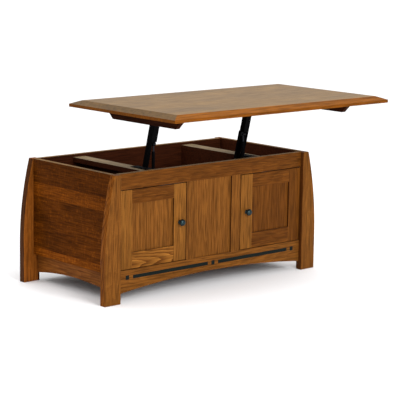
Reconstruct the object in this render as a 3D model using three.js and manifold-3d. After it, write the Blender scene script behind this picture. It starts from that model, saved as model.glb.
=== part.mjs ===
// Mission-style lift top coffee table in oak, standing open: the lid is raised and carried
// forward over the front by two pairs of parallel steel arms, each pair helped by a gas strut.
// Units are millimetres. +X is the table's right, +Y its back, +Z up.
// Each door turns on two pins near its outer front edge, and each lift arm on a riveted stud.
import * as THREE from 'three';
import { mergeVertices } from 'three/addons/utils/BufferGeometryUtils.js';
import { ConvexGeometry } from 'three/addons/geometries/ConvexGeometry.js';
import Module from 'manifold-3d';

const wasm = await Module();
wasm.setup();

// ---- driving dimensions: cabinet ----
const FOOT_WIDTH = 1143;        // across the outer edges of the feet
const CABINET_DEPTH = 562;      // over the front and back faces of the legs
const CABINET_HEIGHT = 508;     // floor to the top edge of the box
const LEG_FOOT = 78;            // width of a leg at the floor
const LEG_THICK = 30;           // front to back
const LEG_TAPER = 48;           // how far the outer edge leans in, floor to top
const LEG_STRAIGHT = 150;       // height where the outer curve begins
const BOARD = 20;               // thickness of case and door boards
const FRAME_SETBACK = 16;       // legs stand proud of the face frame by this
const TOP_RAIL = 63;
const APRON_TOP = 127;          // height of the aprons' top edge at front and back
const FRONT_ARCH = 67;          // height of the arch at mid span, front and back
const FRONT_ARCH_END = 36;      // and where it meets the legs
const SIDE_ARCH = 56;
const SIDE_ARCH_END = 34;
const SIDE_APRON_TOP = 128;
const SIDE_PANEL_BOTTOM = 114;
const FLOOR_THICK = 12;
const GAP = 0.3;                // between fixed neighbours

// ---- driving dimensions: face frame, doors and inlay ----
const STILE_INNER = 97;         // half width of the centre panel's opening
const STILE_OUTER = 146;        // inner edge of each doorway
const PANEL_THICK = 8;
const PANEL_RECESS = 6;         // panels lie behind the frame's face by this
const GROOVE_DEPTH = 8;
const GROOVE_FIT = 0.3;         // clearance round a panel's edge in its groove
const DOOR_GAP = 3.5;           // round each door
const DOOR_STILE = 64;
const DOOR_TOP_RAIL = 55;
const DOOR_BOTTOM_RAIL = 63.5;
const DOOR_OPEN_CORNER = 4;     // pivot's distance from the door's front face and outer edge
const PIVOT_PIN_R = 2.5;
const PIVOT_PIN_HALF = 8;
const PIVOT_FIT = 0.3;
const KNOB_R = 14;
const KNOB_STEM_R = 5.5;
const KNOB_LENGTH = 26;
const INLAY_DEPTH = 3;
const INLAY_HEIGHT = 97;
const INLAY_SQUARE = 17;
const INLAY_STRIP = 14;
const INLAY_SPACE = 19.5;       // from the centre square to a strip, and from a strip to its end square
const STRIP_LENGTH = 392;
const CATCH = [12, 10, 26];

// ---- driving dimensions: lid ----
const LID_WIDTH = 1137;
const LID_DEPTH = 627;
const LID_THICK = 25.7;
const LID_EDGE = 11.8;          // square edge below the bevel
const LID_BEVEL_END = 39;
const LID_BEVEL_FRONT = 33;
const BATTEN_OUTER = 455;       // outer face of each batten from the middle
const BATTEN_THICK = 20;
const BATTEN_DEEP = 43;
const BATTEN_LENGTH = 456;
const LID_REST_GAP = 1.5;       // closed lid over the box
const LID_RISE = 243.2;
const LID_TRAVEL = 362.5;       // forward movement from closed to raised

// ---- driving dimensions: lift gear, one set on each side ----
const RAIL_INNER = 266;         // inner face of the support rail from the middle
const RAIL_WIDTH = 60;
const RAIL_THICK = 20;
const RAIL_DROP = 11;           // rail top below the box's edge
const WEB_DEEP = 82;             // support web below its rail
const WEB_THICK = 19;
const WEB_DOOR_CLEAR = 5;
const ARM_LENGTH = 295;         // pivot to pivot
const ARM_WIDE = 18;
const ARM_PLATE = 4;
const ARM_END_R = 11;
const CHANNEL_WALL = 2.5;       // folded flanges that stiffen the arms
const MAIN_CHANNEL = 22;        // flange depth in from the main arm's plate
const FOLLOWER_CHANNEL = 12.5;  // and from the follower arm's, up to its step
const FOLLOWER_CHANNEL_TOP = 8;
const FOLLOWER_STEP = 190;      // step in the follower arm's flange, from its pivot
const STRUT_TURN_CLEAR = 2;     // main arm's flange starts this far past the strut's eye
const BRACKET_PLATE = 2.5;
const BRACKET_MARGIN = 13;      // plate beyond its outermost studs
const BRACKET_FOOT = 51;        // base plate in front of its foremost stud
const FLANGE = 34;
const SIDE_PLAY = 0.5;          // between plates that pass each other
const MAIN_PIVOT_Y = -136;
const PIVOT_UNDER_LID = 18;
const FOLLOWER_OFFSET = [25.5, -28];   // follower pivots from main pivots, back and up
const STUD_R = 4;
const STUD_HEAD_R = 6.5;
const STUD_HEAD = 1.5;
const STUD_FIT = 0.3;
const LOOSE_STUD_FIT = 0.9;     // at the pivots where each linkage is left open
const STRUT_ALONG_ARM = 150;    // strut's upper stud from the main pivot
const STRUT_FOOT = [-36, -18];  // strut's lower stud from the main pivot, back and up
const STRUT_R = 6.5;
const STRUT_BORE_R = 4.3;
const STRUT_ROD_R = 3.5;
const STRUT_TUBE = 132;
const STRUT_ROD_INSIDE = 90;
const STRUT_EYE_R = 8.5;
const STRUT_SIDE_CLEAR = 3.2;   // strut from the follower arm

const ROUND = 24;               // facets on round hardware
const CURVE = 16;               // facets along a leg's curve
const ARCH = 24;                // facets along an apron's arch

// ---- finishes ----
const finish = (color, roughness, metalness) => () =>
  new THREE.MeshStandardMaterial({ color, roughness, metalness });
const oakFront = finish('#9a6430', 0.45, 0);
const oakSide = finish('#7a4520', 0.45, 0);
const oakDoor = finish('#a06c34', 0.45, 0);
const oakInside = finish('#5c3a22', 0.6, 0);
const oakTop = finish('#a5804e', 0.35, 0);
const inlayBlack = finish('#1b2420', 0.4, 0);
const blackSteel = finish('#17181a', 0.45, 0.6);
const nitridedSteel = finish('#242527', 0.3, 0.8);
const pewter = finish('#2e3438', 0.35, 0.8);

// ---- shared lines worked out from the dimensions ----
const frontY = -CABINET_DEPTH / 2;
const backY = CABINET_DEPTH / 2;
const legInnerX = FOOT_WIDTH / 2 - LEG_FOOT;
const legTopX = FOOT_WIDTH / 2 - LEG_TAPER;
const frameFrontY = frontY + FRAME_SETBACK;
const frameBackY = frameFrontY + BOARD;
const legBackY = frontY + LEG_THICK;
const sideOuterX = legTopX - 1;
const sideInnerX = sideOuterX - BOARD;
const topRailBottom = CABINET_HEIGHT - TOP_RAIL;
const closedUnderside = CABINET_HEIGHT + LID_REST_GAP;
const raisedUnderside = closedUnderside + LID_RISE;
const chord = Math.hypot(LID_RISE, LID_TRAVEL);
const meanAngle = Math.PI / 2 - Math.atan2(LID_RISE, LID_TRAVEL);
const halfSwing = Math.asin(chord / (2 * ARM_LENGTH));
const raisedAngle = meanAngle + halfSwing;
const closedAngle = meanAngle - halfSwing;
const mainPivotZ = closedUnderside - PIVOT_UNDER_LID - ARM_LENGTH * Math.sin(closedAngle);

// The lid hangs forward of the box, so the whole table moves back to centre its box on the origin.
const lidFrontY = -LID_TRAVEL - LID_DEPTH / 2;
const table = new THREE.Group();
table.position.y = -(lidFrontY + backY) / 2;

// ---- making and joining solids ----
const toSolid = (geometry) => {
  const bare = geometry.clone();
  bare.deleteAttribute('normal');
  bare.deleteAttribute('uv');
  const merged = mergeVertices(bare, 1e-4);
  const vertProperties = new Float32Array(merged.attributes.position.array);
  const triVerts = new Uint32Array(merged.index.array);
  return new wasm.Manifold(new wasm.Mesh({ numProp: 3, vertProperties, triVerts }));
};

const toGeometry = (solid) => {
  const mesh = solid.getMesh();
  const geometry = new THREE.BufferGeometry();
  geometry.setAttribute('position', new THREE.BufferAttribute(new Float32Array(mesh.vertProperties), 3));
  geometry.setIndex(new THREE.BufferAttribute(new Uint32Array(mesh.triVerts), 1));
  return geometry;
};

const place = (name, geometry, makeMaterial, parent = table) => {
  const mesh = new THREE.Mesh(geometry, makeMaterial());
  mesh.name = name;
  parent.add(mesh);
  return mesh;
};

// Two places across the table, mirrored when side is -1 and put in rising order.
const spanX = (side, outer, inner) => [side * outer, side * inner].sort((a, b) => a - b);

// A box between two opposite corners.
const board = (low, high) => {
  const size = high.map((value, axis) => value - low[axis]);
  const geometry = new THREE.BoxGeometry(...size);
  geometry.translate(...low.map((value, axis) => value + size[axis] / 2));
  return geometry;
};

// The same box on the other side of the table when side is -1.
const sideBoard = (side, low, high) => {
  const [x0, x1] = spanX(side, low[0], high[0]);
  return board([x0, low[1], low[2]], [x1, high[1], high[2]]);
};

const outline = (points) => new THREE.Shape(points.map(([across, up]) => new THREE.Vector2(across, up)));

// A board sawn to an outline drawn in X and Z, from y0 back to y1.
const frontSawn = (points, y0, y1) => {
  const geometry = new THREE.ExtrudeGeometry(outline(points), { depth: y1 - y0, bevelEnabled: false });
  geometry.rotateX(Math.PI / 2);
  geometry.translate(0, y1, 0);
  return geometry;
};

// A plate cut to an outline drawn in Y and Z, from x0 to x1.
const sideSawn = (shape, x0, x1) => {
  const turn = new THREE.Matrix4().makeBasis(
    new THREE.Vector3(0, 1, 0), new THREE.Vector3(0, 0, 1), new THREE.Vector3(1, 0, 0));
  const geometry = new THREE.ExtrudeGeometry(shape, {
    depth: x1 - x0,
    bevelEnabled: false,
    curveSegments: ROUND / 2,
  });
  geometry.applyMatrix4(turn);
  geometry.translate(x0, 0, 0);
  return geometry;
};

// A round bar along X between two places, centred at (y, z).
const crossPin = (radius, x0, x1, y, z) => {
  const geometry = new THREE.CylinderGeometry(radius, radius, Math.abs(x1 - x0), ROUND);
  geometry.rotateZ(Math.PI / 2);
  geometry.translate((x0 + x1) / 2, y, z);
  return geometry;
};

const join = (first, ...others) =>
  toGeometry(others.reduce((solid, other) => solid.add(toSolid(other)), toSolid(first)));
const cut = (first, ...others) =>
  toGeometry(others.reduce((solid, other) => solid.subtract(toSolid(other)), toSolid(first)));

// ---- legs: flat boards whose outer edge is straight, then curves in to the top ----
const legCurveHeight = CABINET_HEIGHT - LEG_STRAIGHT;
const legRadius = (legCurveHeight ** 2 + LEG_TAPER ** 2) / (2 * LEG_TAPER);
const legOuterX = (z) => {
  const above = Math.max(0, z - LEG_STRAIGHT);
  return FOOT_WIDTH / 2 - (legRadius - Math.sqrt(legRadius ** 2 - above ** 2));
};
const legPoints = (side) => {
  const points = [[side * legInnerX, 0], [side * legOuterX(0), 0]];
  for (let step = 0; step <= CURVE; step += 1) {
    const z = LEG_STRAIGHT + legCurveHeight * step / CURVE;
    points.push([side * legOuterX(z), z]);
  }
  points.push([side * legInnerX, CABINET_HEIGHT]);
  return points;
};
for (const [sideName, side] of [['left', -1], ['right', 1]]) {
  place(`front_${sideName}_leg`, frontSawn(legPoints(side), frontY, legBackY), oakFront);
  place(`back_${sideName}_leg`, frontSawn(legPoints(side), backY - LEG_THICK, backY), oakFront);
}

// ---- case sides: a flat panel with an arched apron set back under it ----
const archPoints = (half, top, archMiddle, archEnd) => {
  const rise = archMiddle - archEnd;
  const radius = (half ** 2 + rise ** 2) / (2 * rise);
  const points = [[half, top], [-half, top]];
  for (let step = 0; step <= ARCH; step += 1) {
    const across = -half + 2 * half * step / ARCH;
    points.push([across, archMiddle - radius + Math.sqrt(radius ** 2 - across ** 2)]);
  }
  return points;
};
const sideHalf = -legBackY - GAP;
for (const [sideName, side] of [['left', -1], ['right', 1]]) {
  place(`${sideName}_side_panel`, sideBoard(side,
    [sideInnerX, -sideHalf, SIDE_PANEL_BOTTOM], [sideOuterX, sideHalf, CABINET_HEIGHT]), oakSide);
  const sideApron = outline(archPoints(sideHalf, SIDE_APRON_TOP, SIDE_ARCH, SIDE_ARCH_END));
  // Its inner corners are notched round the ends of the front and back aprons.
  const notches = [-1, 1].map((end) => {
    const [y0, y1] = [end * (-frameBackY - GAP), end * sideHalf * 1.1].sort((a, b) => a - b);
    return sideBoard(side, [sideInnerX - 2 * BOARD, y0, -1], [legInnerX, y1, CABINET_HEIGHT]);
  });
  const apronBoard = sideSawn(sideApron, ...spanX(side, sideInnerX - GAP, sideInnerX - BOARD - GAP));
  place(`${sideName}_side_apron`, cut(apronBoard, ...notches), oakSide);
}

// ---- front: top rail, arched apron with let-in black inlay, two stiles and a centre panel ----
const frontHalf = legInnerX - GAP;
place('front_top_rail', board(
  [-frontHalf, frameFrontY, topRailBottom], [frontHalf, frameBackY, CABINET_HEIGHT]), oakFront);

const stripStart = INLAY_SQUARE / 2 + INLAY_SPACE;
const endSquareX = stripStart + STRIP_LENGTH + INLAY_SPACE + INLAY_SQUARE / 2;
const inlayPieces = [
  ['inlay_square_left', -endSquareX, INLAY_SQUARE, INLAY_SQUARE],
  ['inlay_strip_left', -stripStart - STRIP_LENGTH / 2, STRIP_LENGTH, INLAY_STRIP],
  ['inlay_square_centre', 0, INLAY_SQUARE, INLAY_SQUARE],
  ['inlay_strip_right', stripStart + STRIP_LENGTH / 2, STRIP_LENGTH, INLAY_STRIP],
  ['inlay_square_right', endSquareX, INLAY_SQUARE, INLAY_SQUARE],
];
const inlayBlock = (x, width, height, spare, front, depth) => board(
  [x - width / 2 - spare, front, INLAY_HEIGHT - height / 2 - spare],
  [x + width / 2 + spare, frameFrontY + depth + spare, INLAY_HEIGHT + height / 2 + spare]);
const archedFront = archPoints(frontHalf, APRON_TOP, FRONT_ARCH, FRONT_ARCH_END);
const inlayPockets = inlayPieces.map(([, x, width, height]) =>
  inlayBlock(x, width, height, GAP, frameFrontY - BOARD, INLAY_DEPTH));
place('front_apron', cut(frontSawn(archedFront, frameFrontY, frameBackY), ...inlayPockets), oakFront);
for (const [name, x, width, height] of inlayPieces) {
  place(name, inlayBlock(x, width, height, 0, frameFrontY, INLAY_DEPTH), inlayBlack);
}

const frameLow = APRON_TOP + GAP;
const frameHigh = topRailBottom - GAP;
const panelFrontY = frameFrontY + PANEL_RECESS;
const panelBackY = panelFrontY + PANEL_THICK;
const centreHalf = STILE_INNER + GROOVE_DEPTH - GROOVE_FIT;
for (const [sideName, side] of [['left', -1], ['right', 1]]) {
  const stile = sideBoard(side, [STILE_INNER, frameFrontY, frameLow], [STILE_OUTER, frameBackY, frameHigh]);
  const groove = sideBoard(side,
    [STILE_INNER - GROOVE_DEPTH, panelFrontY - GROOVE_FIT, frameLow - GROOVE_DEPTH],
    [STILE_INNER + GROOVE_DEPTH, panelBackY + GROOVE_FIT, frameHigh + GROOVE_DEPTH]);
  place(`front_${sideName}_stile`, cut(stile, groove), oakFront);
}
place('centre_panel', board(
  [-centreHalf, panelFrontY, frameLow], [centreHalf, panelBackY, frameHigh]), oakFront);

// ---- back: one flat panel over an arched apron ----
const backFrontY = -frameBackY;
const backOuterY = -frameFrontY;
place('back_panel', board([-frontHalf, backFrontY, APRON_TOP + GAP], [frontHalf, backOuterY, CABINET_HEIGHT]),
  oakSide);
place('back_apron', frontSawn(archedFront, backFrontY, backOuterY), oakSide);

// ---- cabinet floor, between the side aprons ----
const floorHalf = sideInnerX - BOARD - 2 * GAP;
place('cabinet_floor', board([-floorHalf, frameBackY + GAP, APRON_TOP - FLOOR_THICK],
  [floorHalf, backFrontY - GAP, APRON_TOP]), oakInside);

// ---- doors: grooved stiles and rails round a flat panel, with a knob on the inner stile ----
const doorInner = STILE_OUTER + DOOR_GAP;
const doorOuter = legInnerX - DOOR_GAP;
const doorLow = APRON_TOP + DOOR_GAP;
const doorHigh = topRailBottom - DOOR_GAP;
const doorMiddle = (doorLow + doorHigh) / 2;
const doorPivotX = doorOuter - DOOR_OPEN_CORNER;
const doorPivotY = frameFrontY + DOOR_OPEN_CORNER;
const uprightPin = (radius, z0, z1, x, y) => {
  const geometry = new THREE.CylinderGeometry(radius, radius, z1 - z0, ROUND);
  geometry.rotateX(Math.PI / 2);
  geometry.translate(x, y, (z0 + z1) / 2);
  return geometry;
};

const knob = (x) => {
  const profile = [
    [0, 0], [KNOB_R * 0.62, 0], [KNOB_R * 0.62, 2], [KNOB_STEM_R, 4], [KNOB_STEM_R, 9],
    [KNOB_R * 0.8, 12], [KNOB_R, 16], [KNOB_R * 0.97, 19], [KNOB_R * 0.8, 22.5], [KNOB_R * 0.45, 25],
    [0, KNOB_LENGTH],
  ];
  const geometry = new THREE.LatheGeometry(profile.map(([r, out]) => new THREE.Vector2(r, out)), ROUND);
  geometry.rotateX(Math.PI);
  geometry.translate(x, frameFrontY - GAP, doorMiddle);
  return geometry;
};

const makeDoor = (sideName, side) => {
  const tongue = GROOVE_DEPTH - GROOVE_FIT;
  const grooveFront = panelFrontY - GROOVE_FIT;
  const grooveBack = panelBackY + GROOVE_FIT;
  const latchInner = doorInner + DOOR_STILE;
  const hingeInner = doorOuter - DOOR_STILE;
  const stileGroove = (edge) => sideBoard(side,
    [edge - GROOVE_DEPTH, grooveFront, doorLow - GROOVE_DEPTH],
    [edge + GROOVE_DEPTH, grooveBack, doorHigh + GROOVE_DEPTH]);
  const pivotHoles = [[doorLow - PIVOT_PIN_HALF, doorLow + PIVOT_PIN_HALF + PIVOT_FIT],
    [doorHigh - PIVOT_PIN_HALF - PIVOT_FIT, doorHigh + PIVOT_PIN_HALF]]
    .map(([z0, z1]) => uprightPin(PIVOT_PIN_R + PIVOT_FIT, z0, z1, side * doorPivotX, doorPivotY));
  const latchStile = sideBoard(side, [doorInner, frameFrontY, doorLow], [latchInner, frameBackY, doorHigh]);
  const hingeStile = sideBoard(side, [hingeInner, frameFrontY, doorLow], [doorOuter, frameBackY, doorHigh]);
  place(`${sideName}_door_latch_stile`, cut(latchStile, stileGroove(latchInner)), oakDoor);
  place(`${sideName}_door_hinge_stile`, cut(hingeStile, stileGroove(hingeInner), ...pivotHoles), oakDoor);
  const railFrom = latchInner + GAP;
  const railTo = hingeInner - GAP;
  const rail = (z0, z1, grooveZ) => {
    const body = sideBoard(side, [railFrom, frameFrontY, z0], [railTo, frameBackY, z1]);
    const tongues = sideBoard(side,
      [latchInner - tongue, panelFrontY, z0], [hingeInner + tongue, panelBackY, z1]);
    const groove = sideBoard(side,
      [latchInner - BOARD, grooveFront, grooveZ - GROOVE_DEPTH],
      [hingeInner + BOARD, grooveBack, grooveZ + GROOVE_DEPTH]);
    return cut(join(body, tongues), groove);
  };
  const railLow = doorLow + DOOR_BOTTOM_RAIL;
  const railHigh = doorHigh - DOOR_TOP_RAIL;
  place(`${sideName}_door_bottom_rail`, rail(doorLow, railLow, railLow), oakDoor);
  place(`${sideName}_door_top_rail`, rail(railHigh, doorHigh, railHigh), oakDoor);
  place(`${sideName}_door_panel`, sideBoard(side,
    [latchInner - tongue, panelFrontY, railLow - tongue],
    [hingeInner + tongue, panelBackY, railHigh + tongue]), oakDoor);
  place(`${sideName}_door_knob`, knob(side * (doorInner + latchInner) / 2), pewter);

  // The pins stand in the door stile's ends, with a short collar in the gap under or over the door.
  const collar = PIVOT_PIN_R * 2;
  const lowerPin = uprightPin(PIVOT_PIN_R, APRON_TOP + GAP, doorLow + PIVOT_PIN_HALF,
    side * doorPivotX, doorPivotY);
  const lowerCollar = uprightPin(collar, APRON_TOP + GAP, doorLow - PIVOT_FIT, side * doorPivotX,
    doorPivotY + DOOR_OPEN_CORNER);
  const upperPin = uprightPin(PIVOT_PIN_R, doorHigh - PIVOT_PIN_HALF, topRailBottom - GAP,
    side * doorPivotX, doorPivotY);
  const upperCollar = uprightPin(collar, doorHigh + PIVOT_FIT, topRailBottom - GAP, side * doorPivotX,
    doorPivotY + DOOR_OPEN_CORNER);
  place(`${sideName}_door_lower_pivot`, join(lowerPin, lowerCollar), nitridedSteel);
  place(`${sideName}_door_upper_pivot`, join(upperPin, upperCollar), nitridedSteel);

  // A magnetic catch on the back of the front stile holds the closed door.
  const [catchX, catchY, catchZ] = CATCH;
  const catchFront = frameBackY + GAP;
  place(`${sideName}_door_catch`, sideBoard(side,
    [STILE_OUTER - catchX, catchFront, doorMiddle - catchZ / 2],
    [STILE_OUTER + catchX, catchFront + catchY, doorMiddle + catchZ / 2]), blackSteel);
};
makeDoor('left', -1);
makeDoor('right', 1);

// ---- lid: one glued-up top, bevelled all round over a square edge, with two raked battens under it ----
const lid = new THREE.Group();
lid.position.set(0, -LID_TRAVEL, raisedUnderside);
table.add(lid);
const lidCorners = (halfX, halfY, z) =>
  [[-1, -1], [1, -1], [1, 1], [-1, 1]].map(([sx, sy]) => new THREE.Vector3(sx * halfX, sy * halfY, z));
place('lid_top', new ConvexGeometry([
  ...lidCorners(LID_WIDTH / 2, LID_DEPTH / 2, 0),
  ...lidCorners(LID_WIDTH / 2, LID_DEPTH / 2, LID_EDGE),
  ...lidCorners(LID_WIDTH / 2 - LID_BEVEL_END, LID_DEPTH / 2 - LID_BEVEL_FRONT, LID_THICK),
]), oakTop, lid);

const battenHalf = BATTEN_LENGTH / 2;
const battenShape = outline([
  [-battenHalf, -GAP], [-battenHalf + BATTEN_DEEP, -BATTEN_DEEP],
  [battenHalf - BATTEN_DEEP, -BATTEN_DEEP], [battenHalf, -GAP],
]);
place('left_lid_batten', sideSawn(battenShape, -BATTEN_OUTER, -BATTEN_OUTER + BATTEN_THICK), oakInside, lid);
place('right_lid_batten', sideSawn(battenShape, BATTEN_OUTER - BATTEN_THICK, BATTEN_OUTER), oakInside, lid);

// ---- lift gear ----
// Plates lie in layers, counted in from the support rail: bracket plates, main arm, follower arm, strut.
const railTop = CABINET_HEIGHT - RAIL_DROP;
const baseOuterX = RAIL_INNER - GAP;
const baseInnerX = baseOuterX - BRACKET_PLATE;
const lidPlateOuterX = baseOuterX - SIDE_PLAY;
const lidPlateInnerX = lidPlateOuterX - BRACKET_PLATE;
const mainOuterX = lidPlateInnerX - SIDE_PLAY;
const mainInnerX = mainOuterX - ARM_PLATE;
const followerOuterX = mainInnerX - SIDE_PLAY;
const followerInnerX = followerOuterX - ARM_PLATE;
const strutOuterX = followerInnerX - STRUT_SIDE_CLEAR;
const strutX = strutOuterX - STRUT_R;
const [followerBack, followerUp] = FOLLOWER_OFFSET;
const [strutBack, strutUp] = STRUT_FOOT;

// A bar with round ends lying along +Y from the pivot, with one hole at each end.
const armShape = (length, holes) => {
  const half = ARM_WIDE / 2;
  const shape = new THREE.Shape();
  const meet = Math.sqrt(ARM_END_R ** 2 - half ** 2);
  const turn = Math.asin(half / ARM_END_R);
  shape.moveTo(length - meet, half);
  shape.lineTo(meet, half);
  shape.absarc(0, 0, ARM_END_R, turn, 2 * Math.PI - turn, false);
  shape.lineTo(length - meet, -half);
  shape.absarc(length, 0, ARM_END_R, Math.PI + turn, 3 * Math.PI - turn, false);
  for (const [along, radius] of holes) {
    const hole = new THREE.Path();
    hole.absarc(along, 0, radius, 0, 2 * Math.PI, true);
    shape.holes.push(hole);
  }
  return shape;
};

const stud = (side, from, to, y, z) => {
  const [x0, x1] = spanX(side, from, to);
  return crossPin(STUD_R, x0, x1, y, z);
};
const studHead = (side, from, y, z) => {
  const [x0, x1] = spanX(side, from, from - STUD_HEAD);
  return crossPin(STUD_HEAD_R, x0, x1, y, z);
};
const armAt = (y, z) => {
  const arm = new THREE.Group();
  arm.position.set(0, y, z);
  arm.rotation.x = raisedAngle;
  table.add(arm);
  return arm;
};

const makeLift = (sideName, side, armTopFit, followerTopFit) => {
  // Support rail along the top of the box, with a web under its inner edge that carries the bracket.
  const railFrom = frameBackY + GAP;
  const railTo = backFrontY - GAP;
  place(`${sideName}_support_rail`, sideBoard(side,
    [RAIL_INNER, railFrom, railTop - RAIL_THICK], [RAIL_INNER + RAIL_WIDTH, railTo, railTop]), oakTop);
  place(`${sideName}_support_web`, sideBoard(side,
    [RAIL_INNER, railFrom + WEB_DOOR_CLEAR, railTop - RAIL_THICK - WEB_DEEP],
    [RAIL_INNER + WEB_THICK, railTo, railTop - RAIL_THICK - GAP]), oakInside);

  // Base bracket: an angle over the rail's inner edge, its plate carrying the arms' and the strut's studs.
  const plateHigh = railTop + GAP + BRACKET_PLATE;
  const plateLow = mainPivotZ + followerUp - BRACKET_MARGIN;
  const plateFront = MAIN_PIVOT_Y + strutBack - BRACKET_FOOT;
  const plateBack = MAIN_PIVOT_Y + followerBack + BRACKET_MARGIN;
  const basePlate = sideBoard(side, [baseInnerX, plateFront, plateLow], [baseOuterX, plateBack, plateHigh]);
  const baseFlange = sideBoard(side,
    [baseInnerX, plateFront, railTop + GAP], [RAIL_INNER + FLANGE, plateBack, plateHigh]);
  const strutInnerX = strutX - STRUT_R;
  place(`${sideName}_base_bracket`, join(basePlate, baseFlange,
    stud(side, baseOuterX, followerOuterX - STUD_FIT, MAIN_PIVOT_Y, mainPivotZ),
    studHead(side, mainInnerX - STUD_FIT, MAIN_PIVOT_Y, mainPivotZ),
    stud(side, baseOuterX, followerInnerX - STUD_FIT, MAIN_PIVOT_Y + followerBack, mainPivotZ + followerUp),
    studHead(side, followerInnerX - STUD_FIT, MAIN_PIVOT_Y + followerBack, mainPivotZ + followerUp),
    stud(side, baseOuterX, strutInnerX - STUD_FIT, MAIN_PIVOT_Y + strutBack, mainPivotZ + strutUp),
    studHead(side, strutInnerX - STUD_FIT, MAIN_PIVOT_Y + strutBack, mainPivotZ + strutUp)), blackSteel);

  // Main arm, in front, with the strut's upper stud on its inner face and a flange down its front
  // edge above that stud.
  const mainArm = armAt(MAIN_PIVOT_Y, mainPivotZ);
  const mainPlate = sideSawn(
    armShape(ARM_LENGTH, [[0, STUD_R + STUD_FIT], [ARM_LENGTH, STUD_R + armTopFit]]),
    ...spanX(side, mainOuterX, mainInnerX));
  const pastStrut = STRUT_ALONG_ARM + STRUT_EYE_R + STRUT_TURN_CLEAR;
  const mainFlange = sideBoard(side,
    [mainInnerX - MAIN_CHANNEL, pastStrut, ARM_WIDE / 2 - CHANNEL_WALL],
    [mainOuterX, ARM_LENGTH - ARM_END_R, ARM_WIDE / 2]);
  place(`${sideName}_main_arm`, join(mainPlate, mainFlange,
    stud(side, mainOuterX, strutOuterX + STUD_FIT * 3, STRUT_ALONG_ARM, 0)), blackSteel, mainArm);

  // Follower arm, behind and lower, with a stepped flange down its rear edge.
  const followerArm = armAt(MAIN_PIVOT_Y + followerBack, mainPivotZ + followerUp);
  const followerPlate = sideSawn(
    armShape(ARM_LENGTH, [[0, STUD_R + STUD_FIT], [ARM_LENGTH, STUD_R + followerTopFit]]),
    ...spanX(side, followerOuterX, followerInnerX));
  const followerFlange = (depth, from, to) => sideBoard(side,
    [followerInnerX - depth, from, -ARM_WIDE / 2], [followerOuterX, to, -ARM_WIDE / 2 + CHANNEL_WALL]);
  const flangeEnd = 1.5 * ARM_END_R;
  place(`${sideName}_follower_arm`, join(followerPlate,
    followerFlange(FOLLOWER_CHANNEL, flangeEnd, FOLLOWER_STEP),
    followerFlange(FOLLOWER_CHANNEL_TOP, flangeEnd, ARM_LENGTH - flangeEnd)), blackSteel, followerArm);

  // Lid bracket: an angle screwed up under the lid, its plate carrying the arms' upper studs.
  const topY = MAIN_PIVOT_Y + ARM_LENGTH * Math.cos(closedAngle);
  const flange = sideBoard(side,
    [lidPlateInnerX, topY - 2 * FLANGE, -GAP - BRACKET_PLATE],
    [RAIL_INNER + FLANGE, topY + 2 * FLANGE, -GAP]);
  const hanger = sideBoard(side,
    [lidPlateInnerX, topY - BRACKET_MARGIN, -PIVOT_UNDER_LID + followerUp - BRACKET_MARGIN],
    [lidPlateOuterX, topY + followerBack + BRACKET_MARGIN, -GAP]);
  place(`${sideName}_lid_bracket`, join(flange, hanger,
    stud(side, lidPlateOuterX, followerOuterX - STUD_FIT, topY, -PIVOT_UNDER_LID),
    studHead(side, mainInnerX - STUD_FIT, topY, -PIVOT_UNDER_LID),
    stud(side, lidPlateOuterX, followerInnerX - STUD_FIT, topY + followerBack, -PIVOT_UNDER_LID + followerUp),
    studHead(side, followerInnerX - STUD_FIT, topY + followerBack, -PIVOT_UNDER_LID + followerUp)),
  blackSteel, lid);

  // Gas strut: a tube on the base stud and a rod that slides in it, up to the main arm's stud.
  const footY = MAIN_PIVOT_Y + strutBack;
  const footZ = mainPivotZ + strutUp;
  const headY = MAIN_PIVOT_Y + STRUT_ALONG_ARM * Math.cos(raisedAngle);
  const headZ = mainPivotZ + STRUT_ALONG_ARM * Math.sin(raisedAngle);
  const strutLength = Math.hypot(headY - footY, headZ - footZ);
  const strut = new THREE.Group();
  strut.position.set(side * strutX, footY, footZ);
  strut.rotation.x = Math.atan2(headZ - footZ, headY - footY);
  table.add(strut);
  const along = (radius, from, to) => {
    const geometry = new THREE.CylinderGeometry(radius, radius, to - from, ROUND);
    geometry.translate(0, (from + to) / 2, 0);
    return geometry;
  };
  const eye = (at) => crossPin(STRUT_EYE_R, -STRUT_R, STRUT_R, at, 0);
  const eyeHole = (at) => crossPin(STUD_R + STUD_FIT, -STRUT_R - 1, STRUT_R + 1, at, 0);
  const tube = cut(join(along(STRUT_R, STRUT_EYE_R / 2, STRUT_TUBE), eye(0)), eyeHole(0),
    along(STRUT_BORE_R, STRUT_TUBE - STRUT_ROD_INSIDE - 10, STRUT_TUBE + 1));
  place(`${sideName}_strut_tube`, tube, blackSteel, strut);
  const rod = join(along(STRUT_ROD_R, STRUT_TUBE - STRUT_ROD_INSIDE, strutLength), eye(strutLength));
  place(`${sideName}_strut_rod`, cut(rod, eyeHole(strutLength)), nitridedSteel, strut);
};
// The lid rides on the left main arm. The other arms' upper holes are looser, so each loop stays open there.
makeLift('left', -1, STUD_FIT, LOOSE_STUD_FIT);
makeLift('right', 1, LOOSE_STUD_FIT, LOOSE_STUD_FIT);

export default table;
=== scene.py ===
import math
import random
import bmesh
import bpy
from mathutils import Matrix, Vector


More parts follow.
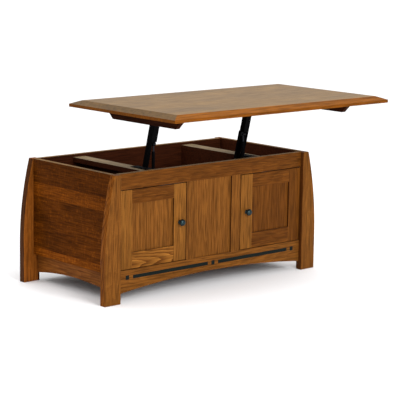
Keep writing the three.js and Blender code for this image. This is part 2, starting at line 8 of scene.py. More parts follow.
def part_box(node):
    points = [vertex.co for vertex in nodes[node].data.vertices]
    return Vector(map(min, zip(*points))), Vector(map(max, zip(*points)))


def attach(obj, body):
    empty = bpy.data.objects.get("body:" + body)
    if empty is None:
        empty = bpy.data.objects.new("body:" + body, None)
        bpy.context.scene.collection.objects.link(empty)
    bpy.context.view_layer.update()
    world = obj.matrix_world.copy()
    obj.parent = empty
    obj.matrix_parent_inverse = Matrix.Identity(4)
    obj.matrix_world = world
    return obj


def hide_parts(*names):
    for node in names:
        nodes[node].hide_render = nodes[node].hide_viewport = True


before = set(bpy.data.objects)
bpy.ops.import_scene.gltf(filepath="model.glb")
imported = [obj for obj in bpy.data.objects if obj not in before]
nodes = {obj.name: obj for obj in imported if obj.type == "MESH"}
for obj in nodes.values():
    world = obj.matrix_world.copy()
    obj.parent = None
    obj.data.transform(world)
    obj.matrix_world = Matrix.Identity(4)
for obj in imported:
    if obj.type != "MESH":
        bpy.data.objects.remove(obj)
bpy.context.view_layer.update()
SIDES = {"left": -1, "right": 1}


# ---- the viewer's place ----
# The table is seen from its front left, a little above its lid, through a long lens.
# The camera leans less than a degree, and the aim point lies near the middle of the box.
AZIMUTH = math.radians(-41.76)
ELEVATION = math.radians(10.21)
LEAN = math.radians(-0.83)
DISTANCE = 6.6807
AIM_RIGHT = 0.1217
AIM_UP = 0.1118
BOX_MIDDLE_HEIGHT = 0.2032
FOCAL_LENGTH = 143.79

back = Vector((math.sin(AZIMUTH) * math.cos(ELEVATION),
               -math.cos(AZIMUTH) * math.cos(ELEVATION),
               math.sin(ELEVATION)))
level = Vector((math.cos(AZIMUTH), math.sin(AZIMUTH), 0))
upright = back.cross(level)
right = level * math.cos(LEAN) - upright * math.sin(LEAN)
up = level * math.sin(LEAN) + upright * math.cos(LEAN)
box_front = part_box("front_left_leg")[0][1]
box_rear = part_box("back_left_leg")[1][1]
middle = Vector((0, (box_front + box_rear) / 2, BOX_MIDDLE_HEIGHT))
lens = bpy.data.cameras.new("viewer")
lens.lens = FOCAL_LENGTH
lens.sensor_width = 36
lens.clip_end = 200
viewer = bpy.data.objects.new("viewer", lens)
bpy.context.collection.objects.link(viewer)
stand = middle + right * AIM_RIGHT + up * AIM_UP + back * DISTANCE
viewer.matrix_world = Matrix.Translation(stand) @ Matrix((right, up, back)).transposed().to_4x4()
bpy.context.scene.camera = viewer


# ---- the studio ----
# A white floor that runs far out of view under a room that is brighter overhead than at its walls,
# and one large soft lamp in front of the left door with a second overhead. The front lamp lies
# square to the doors, so the table's left side stays in half shade.
def linear(code):
    """A colour from its sRGB hex code, turned to linear light."""
    values = [int(code[i:i + 2], 16) / 255 for i in (1, 3, 5)]
    return tuple(v / 12.92 if v <= 0.04045 else ((v + 0.055) / 1.055) ** 2.4 for v in values)


def add(tree, kind, inputs=None, **settings):
    """Adds a node. An input is a value, or the output of another node that is joined to it."""
    made = tree.nodes.new(kind)
    for name, value in settings.items():
        setattr(made, name, value)
    for name, value in (inputs or {}).items():
        if isinstance(value, bpy.types.NodeSocket):
            tree.links.new(value, made.inputs[name])
        else:
            made.inputs[name].default_value = value
    return made


def new_finish(name):
    """An empty material and its node tree."""
    finish = bpy.data.materials.new(name)
    finish.use_nodes = True
    finish.node_tree.nodes.clear()
    return finish, finish.node_tree


def surface(tree, **inputs):
    """The shader of a finish, joined to its output. Inputs are named as the shader names them."""
    shader = add(tree, "ShaderNodeBsdfPrincipled", {k.replace("_", " "): v for k, v in inputs.items()})
    add(tree, "ShaderNodeOutputMaterial", {"Surface": shader.outputs[0]})


white_paint, tree = new_finish("white_studio_paint")
grain = add(tree, "ShaderNodeTexNoise", {"Scale": 40.0, "Detail": 3.0})
speck = add(tree, "ShaderNodeMix", {0: grain.outputs[0], 6: (*linear("#F8F8F9"), 1),
                                    7: (*linear("#FBFBFC"), 1)}, data_type="RGBA")
surface(tree, Base_Color=speck.outputs[2], Roughness=0.9, Specular_IOR_Level=0.1)
FLOOR_REACH = 90
sweep = bmesh.new()
bmesh.ops.create_circle(sweep, cap_ends=True, segments=96, radius=FLOOR_REACH)
sweep_mesh = bpy.data.meshes.new("studio_floor")
sweep.to_mesh(sweep_mesh)
sweep.free()
studio_floor = bpy.data.objects.new("studio_floor", sweep_mesh)
bpy.context.collection.objects.link(studio_floor)
studio_floor.data.materials.append(white_paint)

WALL_GLOW = 0.34
CEILING_GLOW = 1.62
room = bpy.data.worlds.new("room")
room.use_nodes = True
tree = room.node_tree
tree.nodes.clear()
sky = add(tree, "ShaderNodeTexCoord")
height = add(tree, "ShaderNodeSeparateXYZ", {0: sky.outputs["Generated"]})
strength = add(tree, "ShaderNodeMapRange", {"Value": height.outputs[2], "From Min": 0.0, "From Max": 1.0,
                                            "To Min": WALL_GLOW, "To Max": CEILING_GLOW})
glow = add(tree, "ShaderNodeBackground", {"Color": (*linear("#FFFFFF"), 1),
                                          "Strength": strength.outputs[0]})
add(tree, "ShaderNodeOutputWorld", {"Surface": glow.outputs[0]})
bpy.context.scene.world = room
bpy.context.scene.view_settings.view_transform = "Standard"


def softbox(name, place, aim, size, power):
    """A square lamp aimed at a point."""
    lamp = bpy.data.lights.new(name, "AREA")
    lamp.size = size
    lamp.energy = power
    hung = bpy.data.objects.new(name, lamp)
    bpy.context.collection.objects.link(hung)
    hung.location = place
    hung.rotation_euler = (Vector(aim) - Vector(place)).to_track_quat("-Z", "Y").to_euler()


softbox("front_softbox", place=(-0.62, -2.8, 1.45), aim=(-0.15, -0.1, 0.3), size=1.3, power=80)
softbox("top_softbox", place=(0.2, -0.6, 3.4), aim=(0, 0, 0.5), size=2.2, power=25)


# ---- legs ----
# Flat boards of white oak, straight at the foot, whose outer edge curves in to the top.
# They are sawn to a pattern, eased along every edge, stained brown and lacquered to a satin.
# The first five are sizes in mm across and along the fibres.
PORE = (4.2, 80)     # an open pore line; real ones are about 0.3 across, too fine to show here
STREAK = (9, 520)    # a band of early and late wood
CLOUD = (110, 300)   # a broad patch where the stain took more or less
FLAKE = (24, 9)      # a ray flake, which lies across the fibres
BEND = (42, 260)     # one bend in the growth rings
RING = 9             # mm between growth rings where a board is cut across them; real ones are 2 to 4
RING_STEP = 0.314    # how far apart the ring pattern sets its rings when it is not scaled
WANDER = 0.030       # metres a growth ring may stray from a true circle
RING_LEAN = 6        # degrees between a board and the heart of its tree


def stained_oak(name, node, along, stain, depth=0.28, figure=0.25, fleck=0.0, cloud=0.14, seed=1,
                boards=None, rough=0.42, gloss=0.03):
    """Stained and lacquered oak for one piece, whose fibres lie along an axis (0, 1 or 2). depth is
    how far its dark and light bands part, and figure how much of that is growth rings cut at a
    slant, which show as arches. fleck is how bright the ray flakes are, and cloud how far the broad
    patches of the stain part. boards lists the glued-up boards as (width in mm, tone), laid across
    the fibres along the piece's wider way. rough and gloss are the roughness and shine of the lacquer.
    The heart of the tree lies a little behind the piece."""
    finish, tree = new_finish(name)
    luck = random.Random(seed)
    low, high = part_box(node)
    size = [b - a for a, b in zip(low, high)]
    thin, wide = sorted((axis for axis in range(3) if axis != along), key=lambda axis: size[axis])
    spot = add(tree, "ShaderNodeTexCoord").outputs["Object"]
    laid_spot = spot
    tone = None
    if boards:
        parts = add(tree, "ShaderNodeSeparateXYZ", {0: spot})
        share = add(tree, "ShaderNodeMapRange", {"Value": parts.outputs[wide], "From Min": low[wide],
                                                 "From Max": high[wide]})
        tone = add(tree, "ShaderNodeValToRGB", {0: share.outputs[0]})
        tone.color_ramp.interpolation = "CONSTANT"
        total = sum(width for width, _ in boards)
        edge = 0
        for index, (width, value) in enumerate(boards):
            stops = tone.color_ramp.elements
            stop = stops[0] if index == 0 else stops.new(edge / total)
            stop.position = edge / total
            stop.color = (value, value, value, 1)
            edge += width
        while len(tone.color_ramp.elements) > len(boards):
            tone.color_ramp.elements.remove(tone.color_ramp.elements[-1])
        # Each board takes its pattern from a place of its own, so the lines stop at the joints.
        jump = add(tree, "ShaderNodeVectorMath", {0: tone.outputs[0], 1: (3.1, 4.7, 5.3)},
                   operation="MULTIPLY")
        laid_spot = add(tree, "ShaderNodeVectorMath", {0: spot, 1: jump.outputs[0]},
                        operation="ADD").outputs[0]

    def laid(across_mm, along_mm):
        """Coordinates in which one unit is that many mm across and along the fibres."""
        scale = [1000 / across_mm] * 3
        scale[along] = 1000 / along_mm
        offset = [luck.uniform(-20, 20) for _ in range(3)]
        return add(tree, "ShaderNodeMapping", {0: laid_spot, "Location": offset, "Scale": scale}).outputs[0]

    streaks = add(tree, "ShaderNodeTexNoise", {"Vector": laid(*STREAK), "Scale": 1.0,
                                               "Detail": 5.0, "Roughness": 0.66, "Distortion": 0.3})
    pores = add(tree, "ShaderNodeTexNoise", {"Vector": laid(*PORE), "Scale": 1.0, "Detail": 3.0})
    wander = add(tree, "ShaderNodeTexNoise", {"Vector": laid(*BEND), "Scale": 1.0, "Detail": 3.0})
    shift = add(tree, "ShaderNodeVectorMath", {0: wander.outputs["Color"], 1: (WANDER, WANDER, WANDER)},
                operation="MULTIPLY")
    wandered = add(tree, "ShaderNodeVectorMath", {0: spot, 1: shift.outputs[0]}, operation="ADD")
    heart = [-(a + b) / 2 for a, b in zip(low, high)]
    heart[wide] += luck.uniform(-0.2, 0.2) * size[wide]
    heart[thin] -= luck.uniform(0.030, 0.060)
    centred = add(tree, "ShaderNodeVectorMath", {0: wandered.outputs[0], 1: heart}, operation="ADD")
    lean = [0, 0, 0]
    lean[wide] = math.radians(luck.choice((-RING_LEAN, RING_LEAN)))
    period = RING_STEP * 1000 / RING
    tree_axis = add(tree, "ShaderNodeMapping", {0: centred.outputs[0], "Rotation": lean,
                                                "Scale": [period] * 3})
    rings = add(tree, "ShaderNodeTexWave", {"Vector": tree_axis.outputs[0], "Scale": 1.0, "Distortion": 0.6,
                                            "Detail": 2.0, "Detail Scale": 0.5},
                wave_type="RINGS", rings_direction="XYZ"[along], wave_profile="SAW")
    band = add(tree, "ShaderNodeMapRange", {"Value": streaks.outputs[0], "From Min": 0.32,
                                            "From Max": 0.68})
    shade = add(tree, "ShaderNodeMix", {0: figure, 2: band.outputs[0], 3: rings.outputs[1]},
                data_type="FLOAT")
    body = linear(stain)
    deep = [value * (1 - depth * pull) for value, pull in zip(body, (1.0, 1.2, 1.35))]
    fair = [value * (1 + depth * lift) for value, lift in zip(body, (0.85, 0.95, 1.0))]
    colour = add(tree, "ShaderNodeMix", {0: shade.outputs[0], 6: (*deep, 1), 7: (*fair, 1)},
                 data_type="RGBA")
    open_pores = add(tree, "ShaderNodeMapRange", {"Value": pores.outputs[0], "From Min": 0.34,
                                                  "From Max": 0.60, "To Min": 0.58, "To Max": 1.18})
    clouds = add(tree, "ShaderNodeTexNoise", {"Vector": laid(*CLOUD), "Scale": 1.0, "Detail": 2.0})
    drift = add(tree, "ShaderNodeMapRange", {"Value": clouds.outputs[0], "From Min": 0.3, "From Max": 0.7,
                                             "To Min": 1 - cloud, "To Max": 1 + cloud})
    layers = [open_pores, drift]
    if tone:
        layers.append(tone)
    if fleck:
        flakes = add(tree, "ShaderNodeTexNoise", {"Vector": laid(*FLAKE), "Scale": 1.0, "Detail": 2.0,
                                                  "Distortion": 1.2})
        layers.append(add(tree, "ShaderNodeMapRange", {"Value": flakes.outputs[0], "From Min": 0.54,
                                                       "From Max": 0.68, "To Min": 1.0,
                                                       "To Max": 1.0 + fleck}))
    for layer in layers:
        colour = add(tree, "ShaderNodeMix", {0: 1.0, 6: colour.outputs[2], 7: layer.outputs[0]},
                     data_type="RGBA", blend_type="MULTIPLY")
    sheen = add(tree, "ShaderNodeMapRange", {"Value": pores.outputs[0], "From Min": 0.3, "From Max": 0.7,
                                             "To Min": rough + 0.08, "To Max": rough - 0.05})
    relief = add(tree, "ShaderNodeBump", {"Height": pores.outputs[0], "Strength": 0.2, "Distance": 0.0003})
    surface(tree, Base_Color=colour.outputs[2], Roughness=sheen.outputs[0], Normal=relief.outputs[0],
            Specular_IOR_Level=gloss)
    return finish


def dress(piece, finish, ease=0.0):
    """Gives a piece its finish, and eases its square edges by that many mm."""
    piece.data.materials.clear()
    piece.data.materials.append(finish)
    if ease:
        soften = piece.modifiers.new("eased_edges", "BEVEL")
        soften.width = ease / 1000
        soften.segments = 3
        soften.limit_method = "ANGLE"
        soften.angle_limit = math.radians(35)


def line_faces(piece, finish, *ways):
    """Gives the faces of a piece that look one of these ways a finish of their own."""
    piece.data.materials.append(finish)
    for face in piece.data.polygons:
        if any(face.normal.dot(Vector(way)) > 0.8 for way in ways):
            face.material_index = len(piece.data.materials) - 1


def new_piece(name, shape, finish, body):
    """Makes a piece of the object from a bmesh, and lets it ride on a body."""
    mesh = bpy.data.meshes.new(name)
    shape.to_mesh(mesh)
    shape.free()
    piece = bpy.data.objects.new(name, mesh)
    bpy.context.collection.objects.link(piece)
    piece.data.materials.append(finish)
    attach(piece, body)
    return piece


# One brown stain dyes the whole table. Close-grained boards stay lighter under it, open ones go
# darker, and a few come out redder.
TONES = {"light": "#704619", "middle": "#673E15", "dark": "#59320D", "red": "#7E4717"}
LEG_TONE = {
    "front_left_leg": "middle",
    "front_right_leg": "middle",
    "back_left_leg": "red",
    "back_right_leg": "middle",
}
LEG_EDGE_STAIN = {"front": "#6C3C0E", "back": "#46260D"}
# Painted shade: a leg's inner edge, where it stands proud of the side panel, is coloured near black as the
# shade in that reveal.
leg_reveal_painted_shade = stained_oak("leg_reveal_painted_shade", "front_left_leg", 2, "#4C290E", depth=0.3, seed=8)
# Painted shade: the faces inside the case get a dark brown that stands in for the shade in there, with no
# lacquer.
inside_painted_shade = stained_oak("inside_painted_shade", "back_panel", 0, "#3C1B0C", depth=0.25, seed=10,
                           rough=0.6, gloss=0.04)
LEG_FOOT = 0.078             # width at the foot
LEG_TAPER = 0.048            # how far the outer edge has curved in at the top
LEG_STRAIGHT = 0.150         # height at which the curve starts
LEG_CURVE_STEPS = 48
inside_x = abs(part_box("left_side_panel")[1][0])
for end in ("front", "back"):
    for side_name, side in SIDES.items():
        node = f"{end}_{side_name}_leg"
        low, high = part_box(node)
        outer = max(abs(low[0]), abs(high[0]))
        rise = high[2] - LEG_STRAIGHT
        sweep_radius = (rise ** 2 + LEG_TAPER ** 2) / (2 * LEG_TAPER)
        foot = [(outer - LEG_FOOT, 0), (outer, 0)]
        edge = list(foot)
        for step in range(LEG_CURVE_STEPS + 1):
            above = rise * step / LEG_CURVE_STEPS
            inset = sweep_radius - math.sqrt(sweep_radius ** 2 - above ** 2)
            edge.append((outer - inset, LEG_STRAIGHT + above))
        edge.append((outer - LEG_FOOT, high[2]))
        leg = bmesh.new()
        front_ring, back_ring = ([leg.verts.new((side * x, y, z)) for x, z in edge]
                                 for y in (low[1], high[1]))
        leg.faces.new(front_ring)
        leg.faces.new(back_ring)
        for here in range(len(edge)):
            after = (here + 1) % len(edge)
            wall = leg.faces.new((front_ring[here], front_ring[after], back_ring[after], back_ring[here]))
            wall.smooth = len(foot) <= here < len(foot) + LEG_CURVE_STEPS
        bmesh.ops.recalc_face_normals(leg, faces=leg.faces)
        finish = stained_oak(f"leg_oak_{node}", node, 2, TONES[LEG_TONE[node]], figure=0.3, fleck=0.12,
                             seed=11 + len(node) + side)
        # The cut marks off the strip that shows only inside the case, which takes the inside's painted
        # shade.
        bmesh.ops.bisect_plane(leg, geom=leg.verts[:] + leg.edges[:] + leg.faces[:],
                               plane_co=(side * inside_x, 0, 0), plane_no=(1, 0, 0))
        piece = new_piece(f"{node}_board", leg, finish, "cabinet")
        dress(piece, finish, 1.6)
        # painted shade on the leg's inner edge, which faces the middle of the table
        line_faces(piece, leg_reveal_painted_shade, (-side, 0, 0))
        edge_finish = stained_oak(f"leg_edge_{node}", node, 2, LEG_EDGE_STAIN[end], depth=0.55,
                                  figure=0.75, seed=21 + len(node) + side)
        line_faces(piece, edge_finish, (side, 0, 0))
        # painted shade on the leg's faces that lie inside the case
        piece.data.materials.append(inside_painted_shade)
        inward = 1 if end == "front" else -1
        for face in piece.data.polygons:
            if abs(face.center.x) < inside_x and face.normal.y * inward > 0.8:
                face.material_index = len(piece.data.materials) - 1
        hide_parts(node)


# ---- case sides ----
# Each side is one flat panel glued up from boards of uneven width laid front to back, with a
# narrower arched apron set behind it and below. The boards take the stain differently.
SIDE_BOARDS = [(30, 1.0), (105, 0.6), (110, 0.5), (55, 0.8), (95, 0.45)]
# Painted highlight: the box's top edge faces get a paler tan that stands in for the light they catch.
rim_painted_highlight = stained_oak("rim_painted_highlight_oak", "front_top_rail", 0, "#7A5C36", depth=0.2, seed=12, rough=0.5)
for side_name, side in SIDES.items():
    node = f"{side_name}_side_panel"
    finish = stained_oak(f"side_oak_{side_name}", node, 1, "#6A3608", depth=0.24, figure=0.45, fleck=0.6,
                         cloud=0.3, seed=31 + side, boards=SIDE_BOARDS, gloss=0.01)
    dress(nodes[node], finish, 1.2)
    # painted shade on the panel's inside face
    line_faces(nodes[node], inside_painted_shade, (-side, 0, 0))
    # painted highlight on the panel's top edge face
    line_faces(nodes[node], rim_painted_highlight, (0, 0, 1))
    node = f"{side_name}_side_apron"
    finish = stained_oak(f"side_apron_oak_{side_name}", node, 1, "#744319", figure=0.4, fleck=0.1,
                         seed=35 + side)
    dress(nodes[node], finish, 1.2)


# ---- front frame ----
# A top rail, an arched apron, two stiles and a flat centre panel, all of oak. The rails' fibres
# lie along the table and the rest stand upright. The panel sits 6 mm back in its grooves.
FRONT = [
    ("front_top_rail", 0, "dark", 0.3, 0.35, 41),
    ("front_apron", 0, "middle", 0.3, 0.4, 42),
    ("front_left_stile", 2, "middle", 0.25, 0.2, 43),
    ("front_right_stile", 2, "middle", 0.25, 0.2, 44),
    ("centre_panel", 2, "middle", 0.32, 0.3, 45),
]
# Painted shade: the faces in the narrow gaps round the doors and panels are coloured almost black, as the
# shade in those gaps.
gap_painted_shade = stained_oak("gap_painted_shade", "front_top_rail", 2, "#2A1206", depth=0.2, seed=9, gloss=0.05)
for node, along, tone, depth, figure, seed in FRONT:
    finish = stained_oak(f"{node}_oak", node, along, TONES[tone], depth=depth, figure=figure, seed=seed)
    dress(nodes[node], finish, 1.0)
# painted shade on the front frame's faces that lie inside the case, here and in the loop below
line_faces(nodes["front_top_rail"], inside_painted_shade, (0, 1, 0))
# painted highlight on the top rail's top edge face
line_faces(nodes["front_top_rail"], rim_painted_highlight, (0, 0, 1))
for side_name in SIDES:
    # painted shade in the gaps beside the stiles
    line_faces(nodes[f"front_{side_name}_stile"], gap_painted_shade, (1, 0, 0), (-1, 0, 0))
    line_faces(nodes[f"front_{side_name}_stile"], inside_painted_shade, (0, 1, 0))
line_faces(nodes["centre_panel"], inside_painted_shade, (0, 1, 0))


# ---- inlay ----
# Two long strips and three small squares of ebonised wood, let in flush with the apron's face.
# The black dye has a green cast, and sanding leaves it a little smoother than the oak.
ebony, tree = new_finish("ebonised_inlay")
fibres = add(tree, "ShaderNodeTexCoord")
lie = add(tree, "ShaderNodeMapping", {0: fibres.outputs["Object"], "Scale": (12, 220, 220)})
lines = add(tree, "ShaderNodeTexNoise", {"Vector": lie.outputs[0], "Scale": 1.0, "Detail": 3.0})
dye = add(tree, "ShaderNodeMix", {0: lines.outputs[0], 6: (*linear("#040807"), 1),
                                  7: (*linear("#101914"), 1)}, data_type="RGBA")
hair = add(tree, "ShaderNodeBump", {"Height": lines.outputs[0], "Strength": 0.15, "Distance": 0.0002})
surface(tree, Base_Color=dye.outputs[2], Roughness=0.5, Normal=hair.outputs[0], Specular_IOR_Level=0.08)
for name in ("inlay_square_left", "inlay_strip_left", "inlay_square_centre", "inlay_strip_right",
             "inlay_square_right"):
    dress(nodes[name], ebony, 0.3)


# ---- back and floor ----
# The back repeats the front's top line with one flat panel over an arched apron. The floor is a
# thin panel between the aprons. Both are plainer oak; the back's inside face and the floor take painted
# shade.
finish = stained_oak("back_oak", "back_panel", 0, "#4A2813", figure=0.35, seed=51)
dress(nodes["back_panel"], finish, 1.0)
# painted shade on the back panel's inside face
line_faces(nodes["back_panel"], inside_painted_shade, (0, -1, 0))
# painted highlight on the back panel's top edge face
line_faces(nodes["back_panel"], rim_painted_highlight, (0, 0, 1))
finish = stained_oak("back_apron_oak", "back_apron", 0, "#4E2C15", figure=0.4, seed=52)
dress(nodes["back_apron"], finish, 1.0)
dress(nodes["cabinet_floor"], inside_painted_shade, 0.8)


# ---- doors ----
# Two frame and panel doors. Stiles run upright, rails lie between them, and the flat panel is
# let into their grooves. The left door's bottom rail is cut across the rings and shows arches.
DOOR_PARTS = {
    "left": [
        ("latch_stile", 2, "light", 0.26, 0.15, 61),
        ("hinge_stile", 2, "light", 0.26, 0.15, 62),
        ("bottom_rail", 0, "light", 0.62, 0.8, 63),
        ("top_rail", 0, "dark", 0.3, 0.35, 64),
        ("panel", 2, "middle", 0.28, 0.2, 65),
    ],
    "right": [
        ("latch_stile", 2, "light", 0.26, 0.15, 71),
        ("hinge_stile", 2, "dark", 0.26, 0.15, 72),
        ("bottom_rail", 0, "dark", 0.3, 0.35, 73),
        ("top_rail", 0, "dark", 0.3, 0.35, 74),
        ("panel", 2, "dark", 0.28, 0.2, 75),
    ],
}
for side_name, parts in DOOR_PARTS.items():
    for part, along, tone, depth, figure, seed in parts:
        node = f"{side_name}_door_{part}"
        finish = stained_oak(f"{node}_oak", node, along, TONES[tone], depth=depth, figure=figure, seed=seed)
        dress(nodes[node], finish, 0.9)
        if part.endswith("stile"):
            # painted shade in the gaps round the door's panel and edges
            line_faces(nodes[node], gap_painted_shade, (1, 0, 0), (-1, 0, 0))
        elif part.endswith("rail"):
            line_faces(nodes[node], gap_painted_shade, (0, 0, 1), (0, 0, -1))


# ---- knobs ----
# Cast knobs, turned to a mushroom with a thin foot ring, with a dark pewter finish that is
# rubbed brighter on the crown and stays near black in the neck.
pewter, tree = new_finish("dark_pewter")
spot = add(tree, "ShaderNodeTexCoord")
mottle = add(tree, "ShaderNodeTexNoise", {"Vector": spot.outputs["Object"], "Scale": 260.0, "Detail": 4.0})
tint = add(tree, "ShaderNodeMix", {0: mottle.outputs[0], 6: (*linear("#0E1719"), 1),
                                   7: (*linear("#2F4246"), 1)}, data_type="RGBA")
rub = add(tree, "ShaderNodeMapRange", {"Value": mottle.outputs[0], "To Min": 0.24, "To Max": 0.46})
pits = add(tree, "ShaderNodeBump", {"Height": mottle.outputs[0], "Strength": 0.2, "Distance": 0.0003})
surface(tree, Base_Color=tint.outputs[2], Metallic=0.85, Roughness=rub.outputs[0], Normal=pits.outputs[0])


def turn(shape, profile, facets, seat, across, over, out):
    """Adds a turned part to a bmesh and returns its rings. The profile lists (radius, height) in mm
    from the seat. out is the way that it stands up from there, and across and over lie square to it."""
    rings = []
    for radius, height in profile:
        middle = Vector(seat) + Vector(out) * height / 1000
        turns = [math.tau * k / facets for k in range(facets if radius else 1)]
        rings.append([shape.verts.new(middle + (Vector(across) * math.cos(turn_by)
                                                + Vector(over) * math.sin(turn_by)) * radius / 1000)
                      for turn_by in turns])
    for inner, outer in zip(rings, rings[1:]):
        for k in range(facets):
            after = (k + 1) % facets
            corners = [inner[k % len(inner)], inner[after % len(inner)], outer[after % len(outer)],
                       outer[k % len(outer)]]
            shape.faces.new(list(dict.fromkeys(corners))).smooth = True
    return rings


KNOB_PROFILE = [(0, 0), (8.7, 0), (8.7, 1.8), (7.2, 2.6), (5.5, 4.2), (5.3, 8.8), (7.6, 10.6),
                (11.6, 12.2), (13.7, 14.6), (13.9, 17), (13.0, 20), (10.4, 23), (6.2, 25.2), (2.6, 25.9),
                (0, 26)]
KNOB_FACETS = 48
for side_name in SIDES:
    low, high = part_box(f"{side_name}_door_knob")
    seat = ((low[0] + high[0]) / 2, high[1], (low[2] + high[2]) / 2)
    knob = bmesh.new()
    turn(knob, KNOB_PROFILE, KNOB_FACETS, seat, across=(1, 0, 0), over=(0, 0, 1), out=(0, -1, 0))
    bmesh.ops.recalc_face_normals(knob, faces=knob.faces)
    piece = new_piece(f"{side_name}_cast_knob", knob, pewter, f"{side_name}_door")
    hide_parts(f"{side_name}_door_knob")


# ---- door pivots and catches ----
# Each door turns on a ground and nitrided steel pin at top and bottom. A magnet in a black
# coated case on the back of the stile holds it shut.
nitrided_steel, tree = new_finish("black_nitrided_steel")
spot = add(tree, "ShaderNodeTexCoord")
drawn = add(tree, "ShaderNodeMapping", {0: spot.outputs["Object"], "Scale": (900, 60, 60)})
scratches = add(tree, "ShaderNodeTexNoise", {"Vector": drawn.outputs[0], "Scale": 1.0, "Detail": 2.0})
blue_black = add(tree, "ShaderNodeMix", {0: scratches.outputs[0], 6: (*linear("#15161A"), 1),
                                         7: (*linear("#26272B"), 1)}, data_type="RGBA")
polish = add(tree, "ShaderNodeMapRange", {"Value": scratches.outputs[0], "To Min": 0.22, "To Max": 0.36})
surface(tree, Base_Color=blue_black.outputs[2], Metallic=0.9, Roughness=polish.outputs[0])
# The coated parts have the fine ripple and the dull patches of baked powder.
coated_steel, tree = new_finish("black_powder_coat")
spot = add(tree, "ShaderNodeTexCoord")
peel = add(tree, "ShaderNodeTexNoise", {"Vector": spot.outputs["Object"], "Scale": 700.0, "Detail": 2.0})
wear = add(tree, "ShaderNodeTexNoise", {"Vector": spot.outputs["Object"], "Scale": 45.0, "Detail": 5.0})
coat = add(tree, "ShaderNodeMix", {0: wear.outputs[0], 6: (*linear("#040405"), 1),
                                   7: (*linear("#0C0C0D"), 1)}, data_type="RGBA")
dull = add(tree, "ShaderNodeMapRange", {"Value": wear.outputs[0], "To Min": 0.62, "To Max": 0.80})
orange_peel = add(tree, "ShaderNodeBump", {"Height": peel.outputs[0], "Strength": 0.2, "Distance": 0.0002})
surface(tree, Base_Color=coat.outputs[2], Roughness=dull.outputs[0], Normal=orange_peel.outputs[0],
        Specular_IOR_Level=0.02)
for side_name in SIDES:
    for part in ("lower", "upper"):
        dress(nodes[f"{side_name}_door_{part}_pivot"], nitrided_steel, 0.3)
    dress(nodes[f"{side_name}_door_catch"], coated_steel, 0.8)


# ---- support rails and webs ----
# Planed hardwood rails lie front to back across the open top, each over a web that stiffens it and
# carries the lift gear. The rails are pale on top, with a thin finish; their sides and the webs take
# painted shade.
for side_name, side in SIDES.items():
    rail = nodes[f"{side_name}_support_rail"]
    finish = stained_oak(f"rail_wood_{side_name}", f"{side_name}_support_rail", 1, "#7C6A50", depth=0.15,
                         figure=0.2, seed=81 + side, rough=0.5)
    dress(rail, finish, 1.2)
    # painted shade on the rail's sides and on the whole web
    line_faces(rail, inside_painted_shade, (1, 0, 0), (-1, 0, 0))
    dress(nodes[f"{side_name}_support_web"], inside_painted_shade, 0.8)


# ---- lid ----
# One glued-up oak top whose fibres lie along the table, bevelled all round over a thin square
# edge. Two dark raked battens are screwed up under it. It has the hardest, smoothest lacquer.
LID_BOARDS = [(88, 1.0), (112, 0.93), (97, 1.05), (120, 0.96), (104, 1.02), (106, 0.95)]
lid = nodes["lid_top"]
finish = stained_oak("lid_oak", "lid_top", 0, "#75541A", depth=0.2, figure=0.25, seed=91,
                     boards=LID_BOARDS, rough=0.36, gloss=0.30)
dress(lid, finish, 1.0)
# The front and back bevels are cut along the fibres and take an orange tone. The end bevels show
# end grain, which drinks more stain, and the underside has a thin dark coat.
EDGE_FINISHES = [
    ("lid_bevel_oak", "#72420D", 92, 0.03),
    ("lid_end_grain_oak", "#5A3F12", 93, 0.13),
    ("lid_square_edge_oak", "#643709", 96, 0.03),
]
for name, stain, seed, gloss in EDGE_FINISHES:
    lid.data.materials.append(stained_oak(name, "lid_top", 0, stain, depth=0.28, figure=0.3, seed=seed,
                                          gloss=gloss))
TOP, BEVEL, END_BEVEL, SQUARE_EDGE = range(4)
for face in lid.data.polygons:
    if face.normal.z > 0.999:
        face.material_index = TOP
    elif face.normal.z > 0.5 and abs(face.normal.x) > 0.1:
        face.material_index = END_BEVEL
    elif abs(face.normal.z) < 0.1:
        face.material_index = SQUARE_EDGE
    else:
        face.material_index = BEVEL
finish = stained_oak("lid_underside_oak", "lid_top", 0, "#2E1508", depth=0.25, seed=94, rough=0.6)
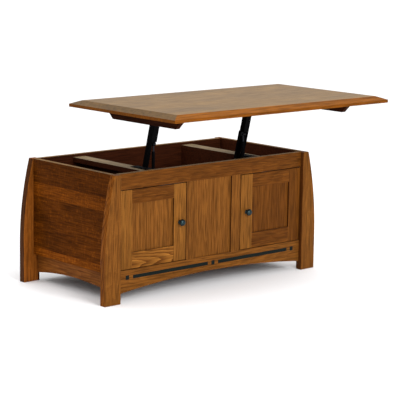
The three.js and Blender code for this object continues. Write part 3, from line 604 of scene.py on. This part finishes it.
line_faces(lid, finish, (0, 0, -1))
for side_name, side in SIDES.items():
    node = f"{side_name}_lid_batten"
    finish = stained_oak(f"batten_oak_{side_name}", node, 1, "#2A1207", depth=0.3, figure=0.2,
                         seed=95 + side, rough=0.55, gloss=0.01)
    dress(nodes[node], finish, 1.2)


# ---- lift gear ----
# Pressed and punched steel, powder coated black: brackets with riveted studs, two arms on each
# side folded to channels, and a gas strut whose black nitrided rod slides in a coated tube.
for side_name in SIDES:
    for part in ("base_bracket", "lid_bracket", "main_arm", "follower_arm", "strut_tube"):
        dress(nodes[f"{side_name}_{part}"], coated_steel, 0.4)
    dress(nodes[f"{side_name}_strut_rod"], nitrided_steel, 0.2)


# ---- bracket screws ----
# Round-headed black steel screws hold each base bracket's flange down to its rail and each lid
# bracket's flange up to the lid, four in a row. A round recess stands for the driver's socket.
SCREW_PROFILE = [(4.2, 0), (4.1, 0.6), (3.4, 1.2), (1.9, 1.6), (1.5, 1.5), (1.4, 0.7), (0, 0.7)]
SCREW_FACETS = 20
SCREW_COUNT = 4
SCREW_MARGIN = 0.012         # from the ends of the flange to the end screws
SCREW_LINE = 0.288           # from the middle of the table to the row
LID_FLANGE = 0.0025          # thickness of the lid bracket's flange, whose screws seat on its underside
for side_name, side in SIDES.items():
    for part, body, way in (("base_bracket", "cabinet", 1), ("lid_bracket", "lid", -1)):
        low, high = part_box(f"{side_name}_{part}")
        seat_z = high[2] if way == 1 else high[2] - LID_FLANGE
        row = high[1] - low[1] - 2 * SCREW_MARGIN
        screws = bmesh.new()
        for step in range(SCREW_COUNT):
            seat = (side * SCREW_LINE, low[1] + SCREW_MARGIN + row * step / (SCREW_COUNT - 1), seat_z)
            rings = turn(screws, SCREW_PROFILE, SCREW_FACETS, seat, across=(1, 0, 0), over=(0, 1, 0),
                         out=(0, 0, way))
            screws.faces.new(rings[0])
        bmesh.ops.recalc_face_normals(screws, faces=screws.faces)
        new_piece(f"{side_name}_{part}_screws", screws, coated_steel, body)
